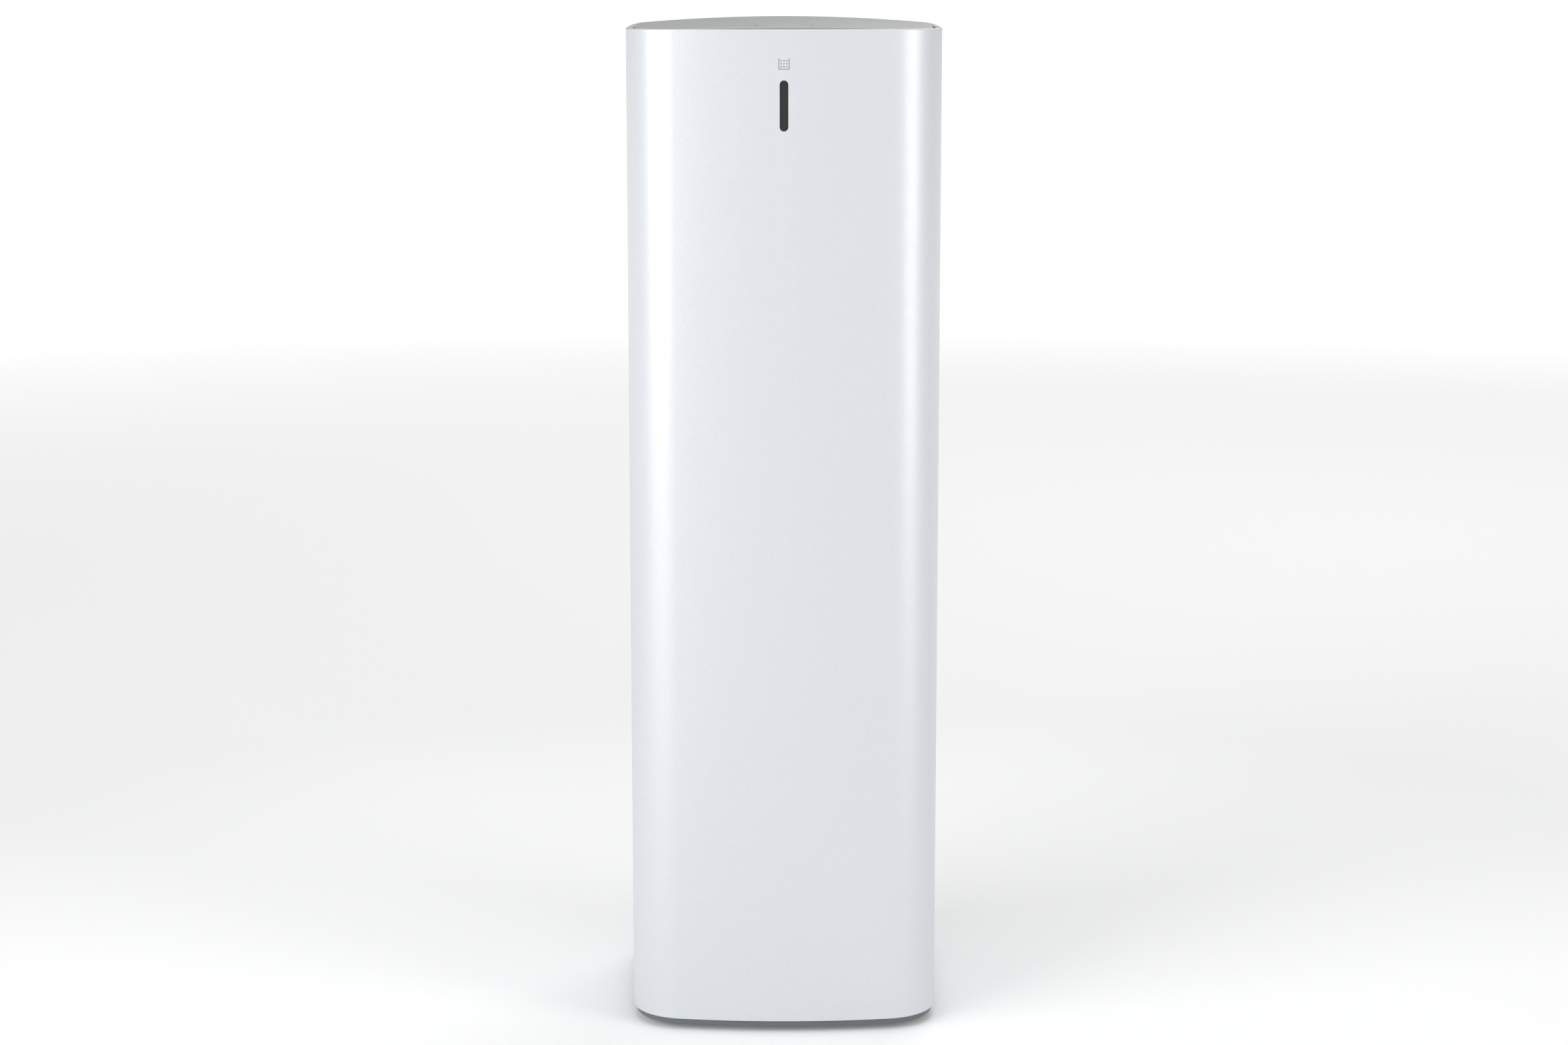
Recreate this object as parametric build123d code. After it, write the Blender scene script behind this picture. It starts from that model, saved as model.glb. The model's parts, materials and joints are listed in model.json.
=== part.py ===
from build123d import *
import math
import os

# Floor-standing tower that empties the dust bin of a cordless vacuum cleaner.
# Millimetres. +Z up, the front faces -Y, the origin is on the floor under the
# middle of the tower.

# ---------------------------------------------------------------- plan shape
WIDTH = 200.0           # left to right
DEPTH = 200.0           # front to rear
FACE_RADIUS = 450.0     # bow of the front and of the rear
SIDE_RADIUS = 2000.0    # bow of the two sides
CORNER_RADIUS = 37.0    # upright corners

# -------------------------------------------------------------------- levels
FOOT_HEIGHT = 3.5
PLINTH_TOP = 7.2        # visible foot of the base tray
COVER_BOTTOM = 7.9      # lower edge of the door and of the rear shell
RIM_TOP = 644.2         # upper edge of the door and of the rear shell
CREST = 650.0           # middle of the domed lid
DOME_RADIUS = 1067.0

# --------------------------------------------------------------------- walls
SHELL_WALL = 2.6
DOOR_WALL = 2.8
RIM_WALL = 4.0          # thickened lip round the lid
RIM_DEPTH = 8.0
BASE_INSET = 1.9
LID_INSET = 5.5
LID_WALL = 2.4

RIM_ROUND = 0.8
FOOT_RADIUS = 9.0
FOOT_REACH = 62.0       # the feet stand on a square of twice this
TRAY_FLOOR = 6.5
TRAY_WALL_TOP = 16.0    # wall inside the base tray that locates the casing
INLET_X = 50.0          # mains inlet in the back
INLET_Z = 38.0

# ------------------------------------------------------------ door and hinge
SEAM_Y = -50.0          # the door's side edges end here in a half-round bead
BEAD_RADIUS = 1.8
SEAM_GAP = 0.8
HINGE_X = -(WIDTH / 2 - SIDE_RADIUS + math.sqrt(SIDE_RADIUS**2 - SEAM_Y**2)) + BEAD_RADIUS
HINGE_PIN_RADIUS = 1.0
HINGE_LEVELS = (56.0, 326.0, 596.0)
EAR_HEIGHT = 10.0
NOTCH_RADIUS = 3.2      # room for an ear in the door's bead, over the whole swing
RUN = 0.05              # radial clearance of a running fit
SHELL_FRONT = SEAM_Y + BEAD_RADIUS + SEAM_GAP
PANEL_FRONT = -86.0     # closed side of the door's inner tray
PANEL_BACK = -53.0
PANEL_HALF = 74.0       # half the tray's width
PANEL_Z = (160.0, 490.0)
PANEL_WALL = 2.4
PANEL_CORNER = 8.0
SEAL_WIDTH = 4.0
MAGNET_LEVELS = (130.0, 515.0)
FINGER_NOTCH_Z = (300.0, 360.0)

# ----------------------------------------------------------------- lid hinge
LID_AXIS_Y = 60.0
LID_AXIS_Z = 643.5
LID_NOSE = 5.0          # rounded rear edge of the lid, about its hinge
LID_GROOVE = 6.5
LID_PIN_RADIUS = 1.5
KNUCKLE_X = (20.5, 33.5)
KNUCKLE_RADIUS = 4.4
SCOOP_WIDTH = 37.0      # finger recess near the lid's front edge
SCOOP_RADIUS = 11.0
SCOOP_Y = -84.0
SCOOP_Z = 655.2
LINER_Z = (634.6, 637.0)
LID_SEAL_HEIGHT = 1.8
LID_MAGNET_X = 38.0
LID_MAGNET_Y = -82.0

# -------------------------------------------------------------- upper section
CUP_Y = -10.0
CUP_RADIUS = 56.0
CUP_WALL = 2.5
CUP_FLANGE = 63.0
FLANGE_THICKNESS = 2.5
CUP_FLOOR = 560.0
PORT_RADIUS = 20.0
DECK_Z = 625.0
DECK_THICKNESS = 3.0
FLAP_Z = 522.0
FLAP_SHAFT_RADIUS = 2.0
FLAP_RADIUS = 18.6
PUSHER_X = 38.0
PUSHER_RADIUS = 3.0
GASKET = 1.5            # thickness of the duct's soft rings
DUCT_RADIUS = 23.0
BUTTON_Y = -83.0
BUTTON_RADIUS = 5.5
BUTTON_STEM = 1.6
SPRING_SEAT = 622.0

# ---------------------------------------------------------------- bag chamber
FRAME_FRONT = -49.4
FRAME_BACK = -46.4
CHAMBER_X = 66.0
CHAMBER_BACK = 55.5
CHAMBER_Z = (172.0, 478.0)
CHAMBER_WALL = 2.5
COLLAR_Z = (466.0, 470.0)
BAG_HALF = 56.0         # half the bag's width
BAG_Y = (-36.0, 44.0)
BAG_BOTTOM = 190.0
FILTER_X = 58.0         # half the width of the filter drawer
FILTER_Z = (146.0, 168.0)
FRAME_X = 94.4          # half the width of the bulkhead
SCREW_X = 88.0
SCREW_RADIUS = 1.6
FRAME_SCREWS = [(x, z) for x in (-SCREW_X, SCREW_X) for z in (40, 240, 400, 560)]

# --------------------------------------------------------------- fan section
FAN_Y = 18.0
HOUSING_RADIUS = 56.0
HOUSING_WALL = 3.0
HOUSING_Z = (26.0, 92.0, 142.0)
SHAFT_RADIUS = 3.0
CAN_RADIUS = 32.0
CAN_Z = (40.0, 86.0)
BEARING_RADIUS = 8.0
EYE_RADIUS = 22.0       # air inlet over the fan wheel
DIFFUSER_Z = (98.0, 101.0)
WHEEL_RADIUS = 42.0
WHEEL_Z = (103.0, 121.0)
THROAT_X = 30.0         # half the width of the fan's outlet
THROAT_Z = (64.0, 86.0)
EXHAUST_X = 60.0
EXHAUST_Z = (60.0, 180.0)
LOUVRE_COUNT = 15
LOUVRE_PITCH = 6.4
LOUVRE_GAP = 3.0
PLEATS = 23

# --------------------------------------------------------------- electronics
BOARD_X = (84.0, 85.6)
BOARD_Y = (-22.0, 46.0)
BOARD_Z = (230.0, 400.0)

# ------------------------------------------------------------------- display
SLOT_WIDTH = 5.1
SLOT_Z = (582.1, 613.1)
ICON_Z = 623.3
ICON_SIZE = 6.9
ICON_LINE = 0.45
ICON_BACK = -99.5
DOT_STEP = 1.8
DISPLAY_Z = (576.0, 619.4)
DISPLAY_BOARD_Y = (-92.0, -90.5)
LAMP_PITCH = 5.3
LAMP_FIRST = 587.0


# ------------------------------------------------------------ basic solids
def block(x, y, z):
    """Box between three pairs of limits."""
    size = [b - a for a, b in (x, y, z)]
    middle = [(a + b) / 2 for a, b in (x, y, z)]
    return Pos(*middle) * Box(*size)


def upright(radius, x, y, z):
    """Cylinder along Z between the two levels in z."""
    return Pos(x, y, (z[0] + z[1]) / 2) * Cylinder(radius, z[1] - z[0])


def crosswise(radius, x, y, z):
    """Cylinder along X between the two limits in x."""
    return Pos((x[0] + x[1]) / 2, y, z) * Rot(0, 90, 0) * Cylinder(radius, x[1] - x[0])


def fore_aft(radius, x, y, z):
    """Cylinder along Y between the two limits in y."""
    return Pos(x, (y[0] + y[1]) / 2, z) * Rot(90, 0, 0) * Cylinder(radius, y[1] - y[0])


def tube(outer, inner, x, y, z):
    """Upright ring between two levels."""
    return upright(outer, x, y, z) - upright(inner, x, y, z)


def outline(inset=0.0):
    """Rounded-square plan of the tower, moved in by inset all round."""
    half_width, half_depth = WIDTH / 2 - inset, DEPTH / 2 - inset
    side, face = SIDE_RADIUS - inset, FACE_RADIUS - inset
    plan = Pos(half_width - side, 0) * Circle(side)
    plan &= Pos(side - half_width, 0) * Circle(side)
    plan &= Pos(0, face - half_depth) * Circle(face)
    plan &= Pos(0, half_depth - face) * Circle(face)
    return fillet(plan.vertices(), CORNER_RADIUS - inset)


def slab(inset, z, y=(-DEPTH, DEPTH)):
    """Solid of the plan shape between two levels and two Y limits."""
    body = extrude(Pos(0, 0, z[0]) * outline(inset), z[1] - z[0])
    return body & block((-WIDTH, WIDTH), y, (z[0] - 1, z[1] + 1))


def wall(outer, inner, z, y=(-DEPTH, DEPTH)):
    """Upright wall that follows the plan shape."""
    return slab(outer, z, y) - slab(inner, (z[0] - 1, z[1] + 1), y)


def mirrored(solid):
    """The solid and its mirror image across the YZ plane."""
    return [solid, mirror(solid, Plane.YZ)]


def crown_level(reach, offset=0.0):
    """Height of the dome at a distance from the tower's axis."""
    radius = DOME_RADIUS - offset
    return CREST - DOME_RADIUS + math.sqrt(radius**2 - reach**2)


def dome(offset=0.0):
    """Solid under the lid's domed top, lowered by offset."""
    reach = 150.0
    top = [(r, crown_level(r, offset)) for r in (0.0, reach / 2, reach)]
    profile = ThreePointArc(*top) + Polyline(top[2], (reach, 600.0), (0.0, 600.0), top[0])
    return revolve(Plane.XZ * make_face(profile), Axis.Z)


def save(name, *solids):
    """Write one node from its separate solids."""
    found = [solid for shape in solids for solid in shape.solids()]
    shape = found[0] if len(found) == 1 else Compound(children=found)
    export_step(shape, f"parts/{name}.step")


# -------------------------------------------------------------- outer casing
def feet():
    """Four soft discs under the base."""
    spots = [(x, y) for x in (-FOOT_REACH, FOOT_REACH) for y in (-FOOT_REACH, FOOT_REACH)]
    discs = [upright(FOOT_RADIUS, x, y, (0, FOOT_HEIGHT)) for x, y in spots]
    return [chamfer(disc.faces().sort_by(Axis.Z)[0].edges(), 0.6) for disc in discs]


def base_tray():
    """Dark plinth with a raised inner wall that locates the casing."""
    plinth = slab(BASE_INSET, (FOOT_HEIGHT, PLINTH_TOP))
    plinth = fillet(plinth.faces().sort_by(Axis.Z)[0].edges(), 1.4)
    plinth += slab(SHELL_WALL + 0.2, (PLINTH_TOP - 1, TRAY_WALL_TOP), (SHELL_FRONT + 1.4, DEPTH))
    plinth += slab(RIM_WALL + 1.6, (PLINTH_TOP - 1, TRAY_WALL_TOP), (-DEPTH, SHELL_FRONT + 2))
    return plinth - slab(9.0, (TRAY_FLOOR, TRAY_WALL_TOP + 1))


def hinge_ear(level):
    """Knuckle on the rear shell that carries one door hinge pin."""
    z = (level - EAR_HEIGHT / 2, level + EAR_HEIGHT / 2)
    x = (HINGE_X - BEAD_RADIUS, HINGE_X + BEAD_RADIUS)
    return upright(BEAD_RADIUS, HINGE_X, SEAM_Y, z) + block(x, (SEAM_Y, SHELL_FRONT + 4), z)


def rear_shell():
    """Sides and back of the casing, with the exhaust window and inlet hole."""
    back = (SHELL_FRONT, DEPTH)
    shell = wall(0, SHELL_WALL, (COVER_BOTTOM, RIM_TOP), back)
    shell += wall(0, RIM_WALL, (RIM_TOP - RIM_DEPTH, RIM_TOP), back)
    rim_edges = [e for e in shell.edges() if abs(e.center().Z - RIM_TOP) < 0.01 and e.length > 20]
    shell = fillet(rim_edges, RIM_ROUND)
    for level in HINGE_LEVELS:
        shell += hinge_ear(level)
        z = (level - EAR_HEIGHT, level + EAR_HEIGHT)
        shell -= upright(HINGE_PIN_RADIUS + RUN, HINGE_X, SEAM_Y, z)
    shell -= block((-EXHAUST_X, EXHAUST_X), (60, DEPTH), EXHAUST_Z)
    inlet = (INLET_X - 13, INLET_X + 13)
    shell -= block(inlet, (60, DEPTH), (INLET_Z - 9, INLET_Z + 9))
    return shell - upright(6.0, WIDTH / 2 + 4.3, SHELL_FRONT + 1, FINGER_NOTCH_Z)


def door_cover():
    """Front and both front corners of the casing, one wrapped shell."""
    front = (-DEPTH, SEAM_Y)
    z = (COVER_BOTTOM, RIM_TOP)
    cover = wall(0, DOOR_WALL, z, front)
    cover += wall(0, RIM_WALL, (RIM_TOP - RIM_DEPTH, RIM_TOP), front)
    cover += wall(0, 2 * BEAD_RADIUS, z, (SEAM_Y - 6, SEAM_Y))
    outer = [e for e in cover.edges() if abs(e.center().Z - RIM_TOP) < 0.01 and e.length > 20]
    cover = fillet(outer, RIM_ROUND)
    for side in (-1, 1):
        cover += upright(BEAD_RADIUS, side * -HINGE_X, SEAM_Y, z)
    for level in HINGE_LEVELS:
        low, high = level - EAR_HEIGHT / 2 - 0.5, level + EAR_HEIGHT / 2 + 0.5
        cover -= upright(NOTCH_RADIUS, HINGE_X, SEAM_Y, (low, high))
        cover -= upright(HINGE_PIN_RADIUS, HINGE_X, SEAM_Y, (low - 10, high + 10))
    for x in (-60, 60):
        for level in (200, 450):
            cover += fore_aft(4.0, x, (-94.5, PANEL_FRONT), level)
    cover -= indicator_shape(SLOT_WIDTH / 2 + 0.15, (-DEPTH, -90))
    for mark in icon_shapes((-DEPTH, ICON_BACK)):
        cover -= mark
    return cover


# ---------------------------------------------------------- indicator display
def indicator_shape(radius, y):
    """Upright stadium through the door's face."""
    low, high = SLOT_Z[0] + SLOT_WIDTH / 2, SLOT_Z[1] - SLOT_WIDTH / 2
    shape = block((-radius, radius), y, (low, high))
    return shape + fore_aft(radius, 0, y, low) + fore_aft(radius, 0, y, high)


def indicator_lens():
    """Dark window over the light bar, a little below the door's face."""
    return indicator_shape(SLOT_WIDTH / 2, (-DEPTH / 2 + 0.25, -95.5))


def icon_shapes(y):
    """Open container with loose dust in it, drawn as thin solids."""
    half, inner = ICON_SIZE / 2, ICON_SIZE / 2 - ICON_LINE
    z = (ICON_Z - half, ICON_Z + half)
    bin_line = block((-half, half), y, z)
    bin_line -= block((-inner, inner), (y[0] - 1, y[1] + 1), (z[0] + ICON_LINE, z[1] + 1))
    dots = [
        fore_aft(ICON_LINE, column * DOT_STEP, y, ICON_Z + 0.1 + row * DOT_STEP)
        for column in (-1, 0, 1)
        for row in (-1, 0, 1)
    ]
    return [bin_line] + dots


def icon_inlay():
    """Printed mark, flush with the door's face."""
    return icon_shapes((-DEPTH / 2 + 0.015, ICON_BACK))


def display_board():
    """Narrow circuit board behind the light bar and the icon."""
    return block((-9, 9), DISPLAY_BOARD_Y, DISPLAY_Z)


def display_leds():
    """Row of lamps on the display board."""
    levels = [LAMP_FIRST + LAMP_PITCH * i for i in range(5)] + [ICON_Z - 6]
    y = (DISPLAY_BOARD_Y[0] - 1.4, DISPLAY_BOARD_Y[0])
    return [block((-1.75, 1.75), y, (level - 1.4, level + 1.4)) for level in levels]


# ------------------------------------------------------- rest of the door
def door_inner_panel():
    """Shallow tray that closes the bag chamber when the door is shut."""
    panel = block((-PANEL_HALF, PANEL_HALF), (PANEL_FRONT, PANEL_BACK), PANEL_Z)
    panel = fillet(panel.edges().filter_by(Axis.Y), PANEL_CORNER)
    inner = PANEL_HALF - PANEL_WALL
    z = (PANEL_Z[0] + PANEL_WALL, PANEL_Z[1] - PANEL_WALL)
    return panel - block((-inner, inner), (PANEL_FRONT + PANEL_WALL, PANEL_BACK + 1), z)


def door_seal():
    """Soft frame on the tray's rim."""
    seal = block((-PANEL_HALF, PANEL_HALF), (PANEL_BACK, FRAME_FRONT - 0.4), PANEL_Z)
    seal = fillet(seal.edges().filter_by(Axis.Y), PANEL_CORNER)
    inner = PANEL_HALF - SEAL_WIDTH
    z = (PANEL_Z[0] + SEAL_WIDTH, PANEL_Z[1] - SEAL_WIDTH)
    return seal - block((-inner, inner), (PANEL_BACK - 1, FRAME_FRONT + 1), z)


def door_hinge_pins():
    """Steel pins fixed in the door's bead."""
    half = EAR_HEIGHT / 2 + 8
    return [
        upright(HINGE_PIN_RADIUS, HINGE_X, SEAM_Y, (level - half, level + half))
        for level in HINGE_LEVELS
    ]


def door_magnets():
    """Catch magnets near the door's free edge."""
    return [block((88, 95.4), (-56.6, -50.6), (z - 10, z + 10)) for z in MAGNET_LEVELS]


def catch_strikes():
    """Steel plates that the catch magnets hold."""
    return [block((86, 93.6), (-50.2, FRAME_FRONT), (z - 12, z + 12)) for z in MAGNET_LEVELS]


# ------------------------------------------------------------ lid and top
def lid_cover():
    """Domed outer lid with a rounded rear edge and a finger recess in front."""
    z = (637.0, CREST + 1)
    crown = slab(LID_INSET, z, (-DEPTH, LID_AXIS_Y - 3)) & dome()
    top_edges = crown.faces().sort_by(Axis.Z)[-1].edges()
    edge = [e for e in top_edges if e.center().Y < 50 and e.center().Z < 647]
    crown = fillet(edge, 1.2)
    hollow = slab(LID_INSET + LID_WALL, (630, CREST), (-DEPTH, LID_AXIS_Y - 8))
    crown -= hollow & dome(LID_WALL)
    nose = crosswise(LID_NOSE, (-92, 92), LID_AXIS_Y, LID_AXIS_Z)
    crown += nose & dome(0.02) & slab(LID_INSET, z)
    crown += block((-24, 24), (-92, -70), (640.0, 645.2)) & slab(LID_INSET + 1, z) & dome(1.0)
    crown -= Pos(0, SCOOP_Y, SCOOP_Z) * Rot(0, 90, 0) * Cylinder(SCOOP_RADIUS, SCOOP_WIDTH)
    for knuckle in mirrored(block((KNUCKLE_X[0] - 0.5, KNUCKLE_X[1] + 0.5), (54, 70), (630, 655))):
        crown -= knuckle
    return crown - crosswise(LID_PIN_RADIUS, (-60, 60), LID_AXIS_Y, LID_AXIS_Z)


def lid_hinge_pin():
    """Steel rod fixed in the lid's rear edge."""
    return crosswise(LID_PIN_RADIUS, (-60, 60), LID_AXIS_Y, LID_AXIS_Z)


def lid_liner():
    """Inner panel of the lid."""
    return slab(LID_INSET + 3.2, LINER_Z, (-DEPTH, 48))


def lid_seal():
    """Soft ring that closes on the bin cradle."""
    return tube(CUP_FLANGE - 1, CUP_RADIUS + 1, 0, CUP_Y, (LINER_Z[0] - LID_SEAL_HEIGHT, LINER_Z[0]))


def lid_magnets():
    """Magnets that hold the lid's front edge down."""
    return mirrored(upright(5.0, LID_MAGNET_X, LID_MAGNET_Y, (LINER_Z[0] - 2.2, LINER_Z[0])))


def top_cap():
    """Fixed rear strip of the top, with the lid's hinge knuckles."""
    cap = slab(RIM_WALL + 0.6, (628.0, CREST + 1), (LID_AXIS_Y + 0.5, DEPTH)) & dome()
    cap -= crosswise(LID_GROOVE, (-WIDTH, WIDTH), LID_AXIS_Y, LID_AXIS_Z)
    cap -= slab(RIM_WALL + 3.4, (627.0, 641.0), (LID_AXIS_Y + 10, DEPTH))
    root = block(KNUCKLE_X, (LID_AXIS_Y, LID_AXIS_Y + 11), (634.0, LID_AXIS_Z + 1.5))
    knuckle = crosswise(KNUCKLE_RADIUS, KNUCKLE_X, LID_AXIS_Y, LID_AXIS_Z) + root
    for part in mirrored(knuckle & dome(0.3)):
        cap += part
    return cap - crosswise(LID_PIN_RADIUS + RUN, (-40, 40), LID_AXIS_Y, LID_AXIS_Z)


def top_deck():
    """Plate under the lid that carries the cradle and the start button."""
    z = (DECK_Z, DECK_Z + DECK_THICKNESS)
    deck = slab(LID_INSET + 0.3, z, (-DEPTH, 90))
    deck -= upright(CUP_RADIUS + CUP_WALL, 0, CUP_Y, (620, 640))
    deck += upright(BUTTON_RADIUS + 3, 0, BUTTON_Y, (620, z[1] + 1.5))
    deck -= upright(BUTTON_RADIUS + 0.3, 0, BUTTON_Y, (SPRING_SEAT, 640))
    return deck - upright(2.0, 0, BUTTON_Y, (610, 630))


def start_button():
    """Round push button in front of the cradle."""
    cap = upright(BUTTON_RADIUS, 0, BUTTON_Y, (627.0, 632.0))
    cap = fillet(cap.faces().sort_by(Axis.Z)[-1].edges(), 0.8)
    return cap + upright(BUTTON_STEM, 0, BUTTON_Y, (618.4, 627.5))


def button_spring():
    """Return spring under the button, as its outer sleeve."""
    return tube(4.2, 3.0, 0, BUTTON_Y, (SPRING_SEAT, SPRING_SEAT + 5))


def start_switch():
    """Microswitch under the deck."""
    return block((-6, 6), (BUTTON_Y - 4, BUTTON_Y + 4), (606, 616)) + block(
        (-7.5, -6), (BUTTON_Y - 4, BUTTON_Y + 4), (606, 620)
    )


def bin_cradle():
    """Round cup that a dust bin stands in, with a port in its floor."""
    top = DECK_Z + DECK_THICKNESS
    brim = top + FLANGE_THICKNESS
    cup = tube(CUP_RADIUS + CUP_WALL, CUP_RADIUS, 0, CUP_Y, (CUP_FLOOR, brim))
    cup += tube(CUP_FLANGE, CUP_RADIUS, 0, CUP_Y, (top, brim))
    cup += tube(CUP_RADIUS + CUP_WALL, PORT_RADIUS, 0, CUP_Y, (CUP_FLOOR, CUP_FLOOR + 3))
    return cup - upright(PUSHER_RADIUS + RUN, PUSHER_X, CUP_Y, (550, 570))


def cradle_gasket():
    """Soft rings on the cradle's flange and round its port."""
    flange_top = DECK_Z + DECK_THICKNESS + FLANGE_THICKNESS
    return [
        tube(61.5, 57.0, 0, CUP_Y, (flange_top, flange_top + 1.8)),
        tube(28.0, PORT_RADIUS, 0, CUP_Y, (CUP_FLOOR + 3, CUP_FLOOR + 5)),
    ]


def bin_pusher():
    """Pin that lifts to open the docked bin's flap."""
    pin = upright(PUSHER_RADIUS, PUSHER_X, CUP_Y, (536.5, 565.0))
    return fillet(pin.faces().sort_by(Axis.Z)[-1].edges(), 1.2)


def bin_solenoid():
    """Actuator of the bin pusher, hung under the cradle."""
    x = (PUSHER_X - 10, PUSHER_X + 10)
    body = block(x, (CUP_Y - 10, CUP_Y + 10), (FLAP_Z + 4, CUP_FLOOR - 4))
    body += block(x, (CUP_Y - 14, CUP_Y + 14), (CUP_FLOOR - 4, CUP_FLOOR))
    return body - upright(PUSHER_RADIUS + RUN, PUSHER_X, CUP_Y, (530, 570))


# ------------------------------------------------------------------ air path
def inlet_duct():
    """Tube from the cradle's port down to the bag, with a flange at each end."""
    low, high = CHAMBER_Z[1] + CHAMBER_WALL + GASKET, CUP_FLOOR - GASKET
    duct = tube(DUCT_RADIUS, PORT_RADIUS, 0, CUP_Y, (low, high))
    duct += tube(27.5, PORT_RADIUS, 0, CUP_Y, (low, low + 3))
    duct += tube(27.0, PORT_RADIUS, 0, CUP_Y, (high - 3, high))
    for boss in mirrored(crosswise(5.0, (DUCT_RADIUS - 2, DUCT_RADIUS + 4), CUP_Y, FLAP_Z)):
        duct += boss
    duct -= upright(PORT_RADIUS, 0, CUP_Y, (low, high))
    return duct - crosswise(FLAP_SHAFT_RADIUS + RUN, (-30, 30), CUP_Y, FLAP_Z)


def duct_gaskets():
    """Soft rings at the duct's two joints."""
    low, high = CHAMBER_Z[1] + CHAMBER_WALL, CUP_FLOOR
    return [
        tube(26.5, PORT_RADIUS, 0, CUP_Y, (low, low + GASKET)),
        tube(26.5, PORT_RADIUS, 0, CUP_Y, (high - GASKET, high)),
    ]


def air_flap():
    """Butterfly disc that pulses the air flow."""
    disc = upright(FLAP_RADIUS, 0, CUP_Y, (FLAP_Z - 1, FLAP_Z + 1))
    disc += crosswise(3.4, (-16, 16), CUP_Y, FLAP_Z)
    return disc - crosswise(FLAP_SHAFT_RADIUS, (-30, 30), CUP_Y, FLAP_Z)


def flap_shaft():
    """Steel shaft of the butterfly disc."""
    return crosswise(FLAP_SHAFT_RADIUS, (-26.5, 36), CUP_Y, FLAP_Z)


def flap_servo():
    """Geared motor that turns the flap shaft."""
    servo = block((28, 52), (CUP_Y - 11, CUP_Y + 11), (FLAP_Z - 18, FLAP_Z + 3.5))
    return servo - crosswise(FLAP_SHAFT_RADIUS + RUN, (27, 37), CUP_Y, FLAP_Z)


def bag_chamber():
    """Open-fronted tub for the dust bag."""
    x, y, z = CHAMBER_X, CHAMBER_BACK, CHAMBER_Z
    t = CHAMBER_WALL
    tub = block((-x - t, x + t), (FRAME_BACK, y + t), (z[0] - t, z[1] + t))
    tub -= block((-x, x), (FRAME_BACK - 1, y), z)
    tub -= block((-44, 44), (-28, 42), (z[0] - t - 1, z[0] + 1))
    return tub - upright(PORT_RADIUS, 0, CUP_Y, (z[1] - 1, z[1] + t + 1))


def bag_rails():
    """Channels at the top of the chamber that the bag's collar slides in."""
    rail = block((47, 66), (-40, 50), (463, 474)) - block((46, 62), (-41, 51), (465.8, 470.2))
    return mirrored(rail)


def bag_collar():
    """Stiff collar of the dust bag, with its pull tab."""
    low, high = COLLAR_Z
    collar = block((-50, 50), (BAG_Y[0] - 2, BAG_Y[1] + 2), (low, high))
    collar += block((-12, 12), (-45, BAG_Y[0] - 2), (low, low + 2))
    collar = fillet(collar.edges().filter_by(Axis.Z), 2.5)
    return collar - upright(18.0, 0, CUP_Y, (460, 480))


def dust_bag():
    """Soft bag that hangs from the collar."""
    bag = fillet(block((-BAG_HALF, BAG_HALF), BAG_Y, (BAG_BOTTOM, COLLAR_Z[0])).edges(), 16)
    neck = upright(22.0, 0, CUP_Y, (COLLAR_Z[0] - 11, COLLAR_Z[0]))
    return bag & block((-80, 80), (-80, 80), (BAG_BOTTOM, COLLAR_Z[0] - 4)) + neck


def premotor_filter_frame():
    """Drawer-like frame of the foam filter between the bag and the fan."""
    low, high = FILTER_Z
    inner = FILTER_X - 4
    frame = block((-FILTER_X, FILTER_X), (-44, 50), (low, high))
    frame -= block((-inner, inner), (-36, 46), (low + 3, high + 2))
    frame -= block((-46, 46), (-30, 42), (low - 1, low + 4))
    return frame + block((-12, 12), (-48, -44), (155, 160))


def premotor_foam():
    """Foam block of the pre-motor filter."""
    half = FILTER_X - 4.2
    return block((-half, half), (-35.8, 45.8), (FILTER_Z[0] + 3, FILTER_Z[1] - 1))


def inner_frame():
    """Upright bulkhead behind the door, with windows for bag and filter."""
    z = (TRAY_WALL_TOP + 1, DECK_Z)
    plate = block((-FRAME_X, FRAME_X), (FRAME_FRONT, FRAME_BACK), z)
    for flange in mirrored(block((84, FRAME_X), (FRAME_BACK - 1, -30), z)):
        plate += flange
    plate -= block((-CHAMBER_X, CHAMBER_X), (-52, -44), CHAMBER_Z)
    filter_x = FILTER_X + 0.5
    plate -= block((-filter_x, filter_x), (-52, -44), (FILTER_Z[0] - 1, FILTER_Z[1] + 0.5))
    plate -= block((-52, 52), (-52, -44), (CUP_FLOOR - 4, DECK_Z + 1))
    for x, z in FRAME_SCREWS:
        plate -= fore_aft(SCREW_RADIUS, x, (-52, -36), z)
    return plate


def frame_screws():
    """Pan-head screws of the bulkhead."""
    return [
        fore_aft(3.0, x, (FRAME_FRONT - 1.6, FRAME_FRONT), z) + fore_aft(SCREW_RADIUS, x, (-50, -36), z)
        for x, z in FRAME_SCREWS
    ]


# ---------------------------------------------------------------- fan section
def motor_housing_lower():
    """Cup round the motor, open to the rear where the air leaves."""
    z = (HOUSING_Z[0], HOUSING_Z[1])
    inner = HOUSING_RADIUS - HOUSING_WALL
    cup = tube(HOUSING_RADIUS, inner, 0, FAN_Y, z)
    cup += upright(HOUSING_RADIUS, 0, FAN_Y, (z[0], z[0] + 3))
    cup += tube(HOUSING_RADIUS + 4, inner, 0, FAN_Y, (z[1] - 3, z[1]))
    for x in (-40, 40):
        for y in (FAN_Y - 30, FAN_Y + 30):
            cup += upright(4.0, x, y, (TRAY_FLOOR, z[0] + 1))
    return cup - block((-THROAT_X, THROAT_X), (FAN_Y + 40, 90), THROAT_Z)


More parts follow.
